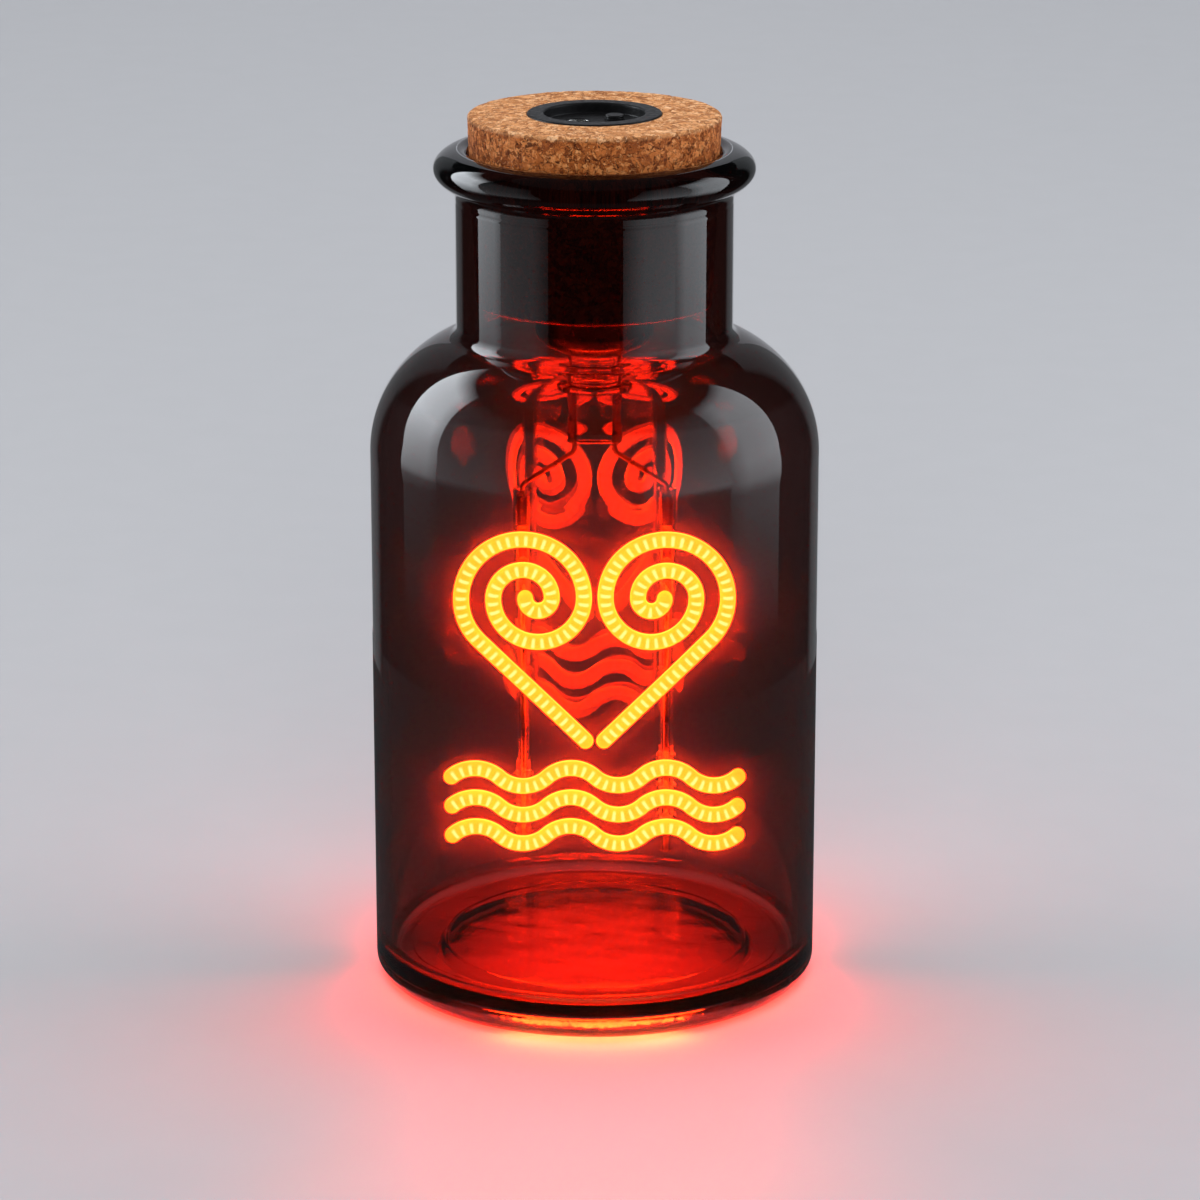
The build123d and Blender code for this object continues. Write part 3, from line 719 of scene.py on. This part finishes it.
def stemShape():
    # level rings between a circle and a rounded oblong: x = wide * cos^(2/n), y = thick * sin^(2/n)
    s = stem
    neck, flange, r, fillet = s["neck"], s["flange"], s["flangeRound"], s["flangeFillet"]
    upper = outline(
        straight((neck, s["top"]), (neck, s["flangeTop"] + fillet), 1.5),
        arcPoints((neck + fillet, s["flangeTop"] + fillet), fillet, 180, 270, 5),
        arcPoints((flange - r, s["flangeTop"] - r), r, 90, 0, 6),
        arcPoints((flange - r, s["flangeBottom"] + r), r, 0, -90, 6))
    drop = np.linspace(0, 1, 26)
    footZ = s["flangeBottom"] + (s["footBottom"] + s["footRound"] - s["flangeBottom"]) * drop
    dent = s["waist"] * np.sin(np.pi * drop) ** 2
    edge = arcPoints((0, s["footBottom"] + s["footRound"]), s["footRound"], 0, -90, 6)
    wide, thick = (np.concatenate([upper[:, 0], half - dent, half - s["footRound"] + edge[1:, 0]])
                   for half in (s["footWide"], s["footThick"]))
    height = np.concatenate([upper[:, 1], footZ, edge[1:, 1]])
    square = np.where(np.arange(len(height)) < len(upper), 2.0, s["footSquare"])
    angle = (np.arange(s["sides"]) + 0.5) * fullTurn / s["sides"]
    bent = 2 / square[:, None]
    x = wide[:, None] * np.sign(np.cos(angle)) * np.abs(np.cos(angle)) ** bent
    y = thick[:, None] * np.sign(np.sin(angle)) * np.abs(np.sin(angle)) ** bent
    rings = np.stack([x, y, np.repeat(height[:, None], s["sides"], 1)], -1)
    return skin(rings, poles=((0, 0, s["top"]), (0, 0, s["footBottom"])))


addPiece("clearStem", stemShape(), clearGlass, "stopper", ["clear_stem"], sharp=50)

# Support wires, ferrules, sleeves, rails and collars

wire = {
    "radius": 0.6, "x": 4.4, "top": 150.995, "exit": 121.495, "railX": 16.2, "railY": 2.2,
    "hook": 112.895, "bottom": 26.779, "bend": 2.0, "spacing": 0.6, "sides": 20, "end": 0.2,
}
rail = {
    "sleeve": 2.2, "sleeveBore": 1.65, "sleeveTop": 111.995, "sleeveBottom": 88.595,
    "core": 1.6, "coreBore": 0.65, "coreTop": 110.495, "railTop": 91.495, "bottom": 26.779,
    "edge": 0.22, "sides": 56, "collarHeight": 4.0, "collarEdge": 0.25, "collarSides": 40,
    "heartCollar": 68.479,
}
wave = {"heights": (45.879, 38.879, 31.879), "rise": 2.1, "half": 10.8, "count": 6}


def bentPath(corners, bend):
    # straight runs joined by arcs of the bend radius: centre + cos * start spoke + sin * radius * heading
    corners = [np.asarray(c, float) for c in corners]
    points = [corners[:1]]
    for before, here, after in zip(corners, corners[1:], corners[2:]):
        heading, leaving = unit(here - before), unit(after - here)
        turn = math.acos(float(heading @ leaving))
        start = here - heading * bend * math.tan(turn / 2)
        centre = here + unit(leaving - heading) * bend / math.cos(turn / 2)
        swing = np.linspace(0, turn, 16)[:, None]
        points.append(centre + np.cos(swing) * (start - centre) + np.sin(swing) * bend * heading)
    return np.concatenate(points + [corners[-1:]])


wireMetal = grainy("drawnWire", (0.3, 0.2, 0.12), 0.3, 420.0, 0.35, 0.1, Metallic=1.0)
ferruleRed = grainy("ferruleRed", (0.09, 0.005, 0.004), 0.22, 300.0, 0.4, 0.08, Coat_Weight=0.4)
for sideName, side in (("left", -1), ("right", 1)):
    x, y = side * wire["railX"], wire["railY"]
    corners = [(side * wire["x"], 0, wire["top"]), (side * wire["x"], 0, wire["exit"]),
               (x, y, wire["hook"]), (x, y, wire["bottom"])]
    flat = unit(np.array([-y, x - side * wire["x"], 0.0]))
    line, _ = evenly(bentPath(corners, wire["bend"]), wire["spacing"])
    shape = rodAlong(line, flat, wire["radius"], wire["sides"], wire["end"])
    cap = sideName.capitalize()
    addPiece("supportWire" + cap, shape, wireMetal, "stopper", ["support_wire_" + sideName])
    for name, sizes, finish, node, slot in (
            ("sleeve", ("sleeve", "sleeveBore", "sleeveBottom", "sleeveTop"), clearPlastic,
             "sleeve_", "clear_plastic"),
            ("ferrule", ("core", "coreBore", "railTop", "coreTop"), ferruleRed,
             "ferrule_", "ferrule_red"),
            ("railTube", ("core", "coreBore", "bottom", "railTop"), clearPlastic,
             "rail_tube_", "clear_plastic")):
        wall = pipeProfile(*(rail[size] for size in sizes), rail["edge"])
        pipe = lathe(wall, rail["sides"], (x, y), closed=True)
        addPiece(name + cap, pipe, finish, "stopper", [node + sideName])

collars = []
half = rail["collarHeight"] / 2
for side in (-1, 1):
    centre = (side * wire["railX"], wire["railY"])
    for z in (rail["heartCollar"], *(row + side * wave["rise"] for row in wave["heights"])):
        wall = pipeProfile(rail["sleeve"], rail["sleeveBore"], z - half, z + half, rail["collarEdge"])
        collars.append(lathe(wall, rail["collarSides"], centre, closed=True))
addPiece("railCollars", joined(collars), clearPlastic, "stopper", ["rail_collars"])
print("stem, wires and rails done")


# Glowing tubes: a heart of two scrolls over three waves

tube = {"radius": 1.8, "bore": 0.85, "plane": -2.0, "sides": 40, "spacing": 0.36, "pitch": 2.0,
        "tip": (2.1, 54.379), "lobe": (16.2, 87.995, 13.8), "sideAngle": 45.0,
        "turns": ((12.6, 10.2), (16.2, 6.6), (12.6, 3.0)),
        "shade": (0.75, 0.38, 0.06), "amber": (0.85, 0.5, 0.1),
        "strength": 200.0, "glow": (1.0, 0.029, 0.00143), "spot": (1.0, 0.048, 0.013),
        # edge is the colour of the painted highlight line along the tube's sides
        "edge": (1.0, 0.0397, 0.0034), "gap": (1.0, 0.0236, 0.0011), "backShare": (0.5, 0.5, 0.5)}


def glowTube(name, dots):
    # lit soft tube: pale spots across it at the light string's pitch, and a painted highlight line along each
    # side, where the tube is seen edge-on from the front
    t = tube
    material, tree, shader, _ = newMaterial(name, Roughness=0.35, Emission_Strength=t["strength"])
    place = objectPlace(tree)
    cloud = noise(tree, place, 420.0, 3.0)
    feed(tree, shader, "Base Color", ramp(tree, cloud, [(0.3, t["shade"]), (0.7, t["amber"])]))
    colour = ramp(tree, cloud, [(0.25, t["gap"]), (0.75, t["glow"])])
    if dots:
        uv = put(tree, "SeparateXYZ", {0: put(tree, "UVMap", uv_map="along").outputs[0]})
        step = mathNode(tree, "SUBTRACT", mathNode(tree, "FRACT", uv.outputs[0]), 0.5)
        step = mathNode(tree, "ABSOLUTE", step)
        forward = mathNode(tree, "SINE", mathNode(tree, "MULTIPLY", uv.outputs[1], fullTurn))
        facing = mathNode(tree, "ABSOLUTE", forward)
        # painted highlight: where the tube is seen edge-on from the front, it glows brighter and whiter in the
        # edge colour
        rim = ranged(tree, facing, 0.42, 0.12, 0.0, 1.0)
        colour = blended(tree, rim, colour, t["edge"])
        spot = mathNode(tree, "MULTIPLY", ranged(tree, step, 0.3, 0.04), ranged(tree, facing, 0.62, 0.96))
        colour = blended(tree, spot, colour, t["spot"])
        colour = blended(tree, ranged(tree, forward, -0.1, -0.6), colour, t["backShare"], "MULTIPLY")
    feed(tree, shader, "Emission Color", colour)
    return material


def heartLine(side):
    # up the straight side, over the lobe and in by half circles of smaller and smaller radius
    t = tube
    lobeX, lobeZ, lobeR = t["lobe"]
    lobe = arcPoints((lobeX, lobeZ), lobeR, t["sideAngle"] - 90, 180, 300)
    halves = []
    start = 180
    for x, r in t["turns"]:
        halves.append(arcPoints((x, lobeZ), r, start, start + 180, 200))
        start += 180
    flat = outline(t["tip"], lobe, *halves)
    return np.stack([side * flat[:, 0], np.full(len(flat), t["plane"]), flat[:, 1]], 1)


def waveLine(height):
    # half waves, each an arc through its two ends and a crest or a trough between them
    t, w = tube, wave
    radius = (w["half"] ** 2 / 4 + w["rise"] ** 2) / (2 * w["rise"])
    turn = math.degrees(math.asin(w["half"] / 2 / radius))
    arcs = []
    for k in range(w["count"]):
        middle = (k - w["count"] / 2 + 0.5) * w["half"]
        sign = 1 if k % 2 == 0 else -1
        arc = arcPoints((middle, 0), radius, 90 + turn, 90 - turn, 120) - (0, radius - w["rise"])
        arcs.append(np.stack([arc[:, 0], height + sign * arc[:, 1]], 1))
    flat = outline(*arcs)
    return np.stack([flat[:, 0], np.full(len(flat), t["plane"]), flat[:, 1]], 1)


front = np.array([0.0, -1.0, 0.0])
glowLit, glowEnd = glowTube("glowTube", True), glowTube("glowEnd", False)
lines = {"heart_tube_left": heartLine(-1), "heart_tube_right": heartLine(1)}
rows = zip(("top", "middle", "bottom"), wave["heights"])
lines.update({"wave_tube_" + row: waveLine(z) for row, z in rows})
caps = []
for node, rough in lines.items():
    line, place = evenly(rough, tube["spacing"])
    along = unit(np.gradient(line, axis=0))
    shells = [carried(line, along, front, r, tube["sides"]) for r in (tube["radius"], tube["bore"])]
    rings = np.concatenate([shells[0], shells[1][::-1]])
    shape = skin(rings, closeRows=True)
    _, rowEnds, colEnds = quadGrid(len(rings), tube["sides"], True)
    dotCount = round(place[-1] / tube["pitch"])
    length = np.concatenate([place, place[::-1], place[:1]]) * dotCount / place[-1]
    uv = np.stack([length[rowEnds], colEnds / tube["sides"]], -1)
    words = node.split("_")
    name = words[0] + "Tube" + words[2].capitalize()
    addPiece(name, shape, glowLit, "stopper", [node], uv=uv)
    for end, sign in ((0, -1), (-1, 1)):
        rise = np.radians(np.linspace(0, 88, 12))
        way = sign * along[end]
        centres = line[end] + np.sin(rise)[:, None] * tube["radius"] * way
        ways = np.repeat(way[None], len(rise), 0)
        dome = carried(centres, ways, front, np.cos(rise) * tube["radius"], tube["sides"])
        caps.append(skin(dome, poles=(line[end], line[end] + way * tube["radius"])))
addPiece("tubeEndCaps", joined(caps), glowEnd, "stopper", ["tube_end_caps"])
print("sign done")


# CAD pieces that stay: the works inside the capsule and the strings inside the tubes

filamentGlow = glowTube("filamentGlow", False)
inside = {
    "switch_plastic": grainy("switchBlack", (0.02, 0.02, 0.021), 0.45, 700.0),
    "plated_metal": nickel,
    "steel": grainy("zincSteel", (0.5, 0.5, 0.52), 0.3, 800.0, 0.15, 0.1, Metallic=1.0),
    "wire_metal": wireMetal,
    "board_green": grainy("boardGreen", (0.015, 0.11, 0.05), 0.35, 900.0, 0.3, 0.1),
    "led_white": grainy("ledWhite", (0.85, 0.84, 0.76), 0.3, 900.0, 0.08, 0.05),
    "cell_wrap": grainy("cellWrap", (0.02, 0.09, 0.22), 0.3, 300.0, 0.2, 0.05),
    "foam_grey": grainy("foamGrey", (0.12, 0.12, 0.125), 0.9, 1500.0, 0.4, 0.6),
    "lead_red": grainy("leadRed", (0.4, 0.02, 0.015), 0.4, 600.0, 0.2, 0.1),
    "lead_black": grainy("leadBlack", (0.02, 0.02, 0.02), 0.4, 600.0, 0.2, 0.1),
    "glow_filament": filamentGlow,
}
kept = {
    "switch_plunger": "switch_plastic", "switch_body": "switch_plastic", "jack_body": "switch_plastic",
    "charge_led": "led_white", "control_board": "board_green", "driver_chip": "switch_plastic",
    "board_screws": "steel", "battery_cell": "cell_wrap", "battery_tab_top": "plated_metal",
    "battery_tab_bottom": "plated_metal", "battery_foam": "foam_grey", "battery_lead_positive": "lead_red",
    "battery_lead_negative": "lead_black", "lamp_lead_left": "lead_black", "lamp_lead_right": "lead_red",
    "feed_pins": "wire_metal",
}
kept.update({line.replace("tube", "filament"): "glow_filament" for line in lines})
for node, slot in kept.items():
    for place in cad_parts[node].material_slots:
        place.material = inside[slot]
print("CAD finishes set:", len(kept))


# Stage: a pale round sweep, a wide light above, soft boxes at the sides and a dark tent for reflections

stage = {"radius": 2.4, "cove": 0.9, "height": 2.6, "colour": (0.43, 0.44, 0.465),
         "sides": 160, "drop": 0.0001}


def addStage(name, points, faces, material, only=None):
    # a stage object, seen by every ray or by one kind of ray only
    mesh = bpy.data.meshes.new(name)
    mesh.from_pydata(points.tolist(), [], [f for group in faces for f in group.tolist()])
    mesh.polygons.foreach_set("use_smooth", np.ones(len(mesh.polygons), bool))
    mesh.materials.append(material)
    made = bpy.data.objects.new(name, mesh)
    scene.collection.objects.link(made)
    if only:
        for ray in ("camera", "diffuse", "glossy", "transmission", "volume_scatter", "shadow"):
            setattr(made, "visible_" + ray, ray == only)
    return mesh


def sweepFloor():
    # a flat floor that curves up into a wall all round
    s = stage
    flat = np.linspace(0.02, 1, 24)[:, None] * np.array([[s["radius"] - s["cove"], 0.0]])
    curve = arcPoints((s["radius"] - s["cove"], s["cove"]), s["cove"], -90, 0, 24)
    profile = outline(flat, curve, (s["radius"], s["height"]))
    angle = np.arange(s["sides"]) * fullTurn / s["sides"]
    radius, height = profile[:, :1], np.repeat(profile[:, 1:], s["sides"], 1)
    rings = np.stack([radius * np.cos(angle), radius * np.sin(angle), height], -1)
    points, faces = skin(rings, poles=((0, 0, 0), None))
    points[:, 2] -= s["drop"]
    material, tree, shader, _ = newMaterial("paleFloor", Roughness=0.9, Specular_IOR_Level=0.0)
    cloud = noise(tree, objectPlace(tree), 60.0, 5.0)
    dark = tuple(c * 0.985 for c in s["colour"])
    feed(tree, shader, "Base Color", ramp(tree, cloud, [(0.3, dark), (0.7, s["colour"])]))
    addStage("floorSweep", points, [group[:, ::-1] for group in faces], material)
    lit = bpy.data.collections.new("floorOnly")
    lit.objects.link(bpy.data.objects["floorSweep"])
    return lit


# The glass shows a dark tent with a soft window at each side, as under a photographer's flags.
# Turns are in degrees from the camera's side, heights in metres; up and across are (place, brightness)
# pairs.
tent = {"radius": 0.27, "turn": 156, "height": 0.62, "dim": 0.012, "sides": 96, "drop": 0.00005,
        "matDim": 0.05, "matHole": (0.0502, 0.062), "windowRadius": 0.25, "windowRows": 40}
windows = {
    "windowLeft": {
        "inner": (-79, -79, -98), "outer": (-104, -106, -142), "heights": (0.02, 0.14, 0.43),
        "up": ((0.0, 0.0), (0.1, 0.2), (0.16, 0.6), (0.2, 1.9), (0.37, 4.2), (0.52, 7.2), (0.8, 7.2),
               (0.92, 2.5), (1.0, 0.0)),
        "across": ((0.0, 0.6), (0.25, 1.0), (1.0, 1.0))},
    "windowLeftDim": {
        "inner": (-36, -36, -52), "outer": (-79, -79, -98), "heights": (0.03, 0.14, 0.43),
        "up": ((0.0, 0.0), (0.14, 0.15), (0.19, 0.62), (0.26, 0.58), (0.5, 0.38), (0.8, 0.25),
               (1.0, 0.0)),
        "across": ((0.0, 0.3), (0.3, 0.9), (0.7, 1.0), (1.0, 1.25))},
    "windowRight": {
        "inner": (66, 66, 74), "outer": (99, 100, 118), "heights": (0.02, 0.14, 0.45),
        "up": ((0.0, 0.0), (0.07, 0.4), (0.11, 0.75), (0.18, 2.0), (0.3, 3.0), (0.7, 3.2), (0.85, 2.4),
               (1.0, 0.0)),
        "across": ((0.0, 0.5), (0.3, 1.0), (1.0, 1.0))},
    "windowRightDim": {
        "inner": (22, 22, 40), "outer": (66, 66, 74), "heights": (0.03, 0.14, 0.45),
        "up": ((0.0, 0.0), (0.13, 0.25), (0.18, 1.5), (0.26, 1.3), (0.5, 0.8), (0.8, 0.4), (1.0, 0.0)),
        "across": ((0.0, 0.2), (0.4, 0.8), (1.0, 1.0))},
    "windowBackLeft": {
        "inner": (-132, -132), "outer": (-157, -157), "heights": (-0.00004, 0.3),
        "up": ((0.0, 0.2), (1.0, 0.2)), "across": ((0.0, 0.0), (0.25, 0.8), (1.0, 1.0))},
    "windowBackRight": {
        "inner": (132, 132), "outer": (157, 157), "heights": (-0.00004, 0.3),
        "up": ((0.0, 0.2), (1.0, 0.2)), "across": ((0.0, 0.0), (0.25, 0.8), (1.0, 1.0))},
}


def glowCard(name, brightness, patches=None):
    # a plain light of even brightness, or of the up and across pairs over the card's own map
    material = bpy.data.materials.new(name)
    material.use_nodes = True
    tree = material.node_tree
    tree.nodes.clear()
    light = put(tree, "Emission", {"Color": (0.88, 0.94, 1.0, 1), "Strength": brightness})
    put(tree, "OutputMaterial", {"Surface": light.outputs[0]})
    if patches:
        spot = put(tree, "SeparateXYZ", {0: put(tree, "UVMap", uv_map="card").outputs[0]})
        parts = []
        for axis, key in ((1, "up"), (0, "across")):
            most = max(level for _, level in patches[key])
            stops = [(at, (level / most,) * 3) for at, level in patches[key]]
            curve = ramp(tree, spot.outputs[axis], stops)
            parts.append(mathNode(tree, "MULTIPLY", curve, most))
        tree.links.new(mathNode(tree, "MULTIPLY", *parts), light.inputs["Strength"])
    return material


def tentWall(radius, turns, heights):
    # a grid on an upright cylinder: turns is one row of angles for each height
    angle = np.radians(turns)
    rows, cols = angle.shape
    z = np.repeat(heights[:, None], cols, 1)
    rings = np.stack([radius * np.sin(angle), -radius * np.cos(angle), z], -1)
    faces, rowEnds, colEnds = quadGrid(rows, cols)
    inner = (colEnds < cols).all(1)  # the last column isn't joined to the first
    uv = np.stack([colEnds / (cols - 1), rowEnds / (rows - 1)], -1)
    return rings.reshape(-1, 3), faces[inner], uv[inner]


def reflectionTent():
    t = tent
    black = glowCard("tentBlack", t["dim"])
    turns = np.repeat(np.linspace(-t["turn"], t["turn"], t["sides"] + 1)[None], 2, 0)
    points, faces, _ = tentWall(t["radius"], turns, np.array([-t["drop"], t["height"]]))
    addStage("tentSide", points, [faces], black, "glossy")
    angle = np.arange(t["sides"]) * fullTurn / t["sides"]
    ring = t["radius"] * np.stack([np.cos(angle), np.sin(angle), 0 * angle], 1)
    # the opening is wider at the front and back, where the heel mirrors the lit floor
    near, far = t["matHole"]
    hole = (near + (far - near) * np.sin(angle) ** 2) / t["radius"]
    points, faces = skin(np.stack([ring, ring * hole[:, None]]))
    addStage("tentMat", points - (0, 0, t["drop"]), faces, glowCard("matGrey", t["matDim"]), "glossy")
    for name, w in windows.items():
        heights = np.linspace(w["heights"][0], w["heights"][-1], t["windowRows"])
        inner, outer = (np.interp(heights, w["heights"], w[edge])[:, None] for edge in ("inner", "outer"))
        turns = inner + (outer - inner) * np.linspace(0, 1, t["windowRows"])
        points, faces, uv = tentWall(t["windowRadius"], turns, heights)
        mesh = addStage(name, points, [faces], glowCard(name, 1.0, w), "glossy")
        mesh.uv_layers.new(name="card").data.foreach_set("uv", uv.ravel())


floorOnly = sweepFloor()
reflectionTent()

# The spill lamps inside the bottle carry the sign's glow to the floor only: two low ones, a beam to the
# front and a warm line in the heel.
red, warm = (1.0, 0.014, 0.004), (1.0, 0.42, 0.1)
lamps = {
    "spillFront": {"at": (0, -0.0044, 0.022), "aim": (0, -1, -0.4), "size": (0.05, 0.024), "power": 2.3,
                   "spill": red},
    "spillBack": {"at": (0, 0.0046, 0.022), "aim": (0, 1, -0.4), "size": (0.05, 0.024), "power": 1.6,
                  "spill": red},
    "spillBeam": {"at": (0, -0.006, 0.06), "aim": (0, -0.174, 0), "size": (0.05, 0.05), "power": 1.1,
                  "spill": red, "spread": 60},
    "spillHeel": {"at": (0, -0.043, 0.006), "aim": (0, -0.07, 0), "size": (0.04, 0.003), "power": 0.032,
                  "spill": warm},
    "softBoxLeft": {"at": (-0.9, 0.1, 0.55), "aim": (0, 0, 0.1), "size": (0.6, 0.6), "power": 2.0},
    "softBoxRight": {"at": (0.9, 0.1, 0.55), "aim": (0, 0, 0.1), "size": (0.6, 0.6), "power": 2.8},
    "softBoxTop": {"at": (0.0, 1.2, 2.9), "aim": (0, 1.2, 0), "size": (3.6, 3.2), "power": 104.0},
    "frontFill": {"at": (0.0, -1.7, 0.9), "aim": (0, 0, 0.15), "size": (1.0, 0.8), "power": 12.5},
}
for name, lamp in lamps.items():
    data = bpy.data.lights.new(name, "AREA")
    data.shape, (data.size, data.size_y) = "RECTANGLE", lamp["size"]
    data.energy = lamp["power"]
    made = bpy.data.objects.new(name, data)
    made.location = lamp["at"]
    aim = Vector(lamp["aim"]) - Vector(lamp["at"])
    made.rotation_euler = aim.to_track_quat("-Z", "Y").to_euler()
    made.visible_camera = made.visible_transmission = made.visible_glossy = False
    if "spill" in lamp:
        data.color, data.spread = lamp["spill"], math.radians(lamp.get("spread", 180))
        made.light_linking.receiver_collection = floorOnly
    scene.collection.objects.link(made)

world = bpy.data.worlds.new("studio")
world.use_nodes = True
sky = world.node_tree.nodes["Background"]
sky.inputs["Color"].default_value, sky.inputs["Strength"].default_value = (0.9, 0.95, 1.0, 1), 0.05
scene.world = world

view = {"at": (0.0012, -1.0023, 0.3897), "pitch": 73.18, "lens": 139.8}
cameraData = bpy.data.cameras.new("camera")
cameraData.lens, cameraData.sensor_width = view["lens"], 36.0
camera = bpy.data.objects.new("camera", cameraData)
camera.matrix_world = Matrix.Translation(view["at"]) @ Matrix.Rotation(math.radians(view["pitch"]), 4, "X")
scene.collection.objects.link(camera)
scene.camera = camera
scene.view_settings.view_transform = "Standard"
scene.cycles.sample_clamp_indirect = 0.0  # the sign's glow and its reflections keep their full strength
scene.cycles.min_light_bounces = 6  # dark glass dims each ray, so none of them is dropped early
scene.cycles.min_transparent_bounces = 6
scene.cycles.max_bounces = 24  # light is guided a long way inside the thick base
scene.cycles.glossy_bounces = 16
scene.cycles.transmission_bounces = 24
print("stage, lamps and camera done")
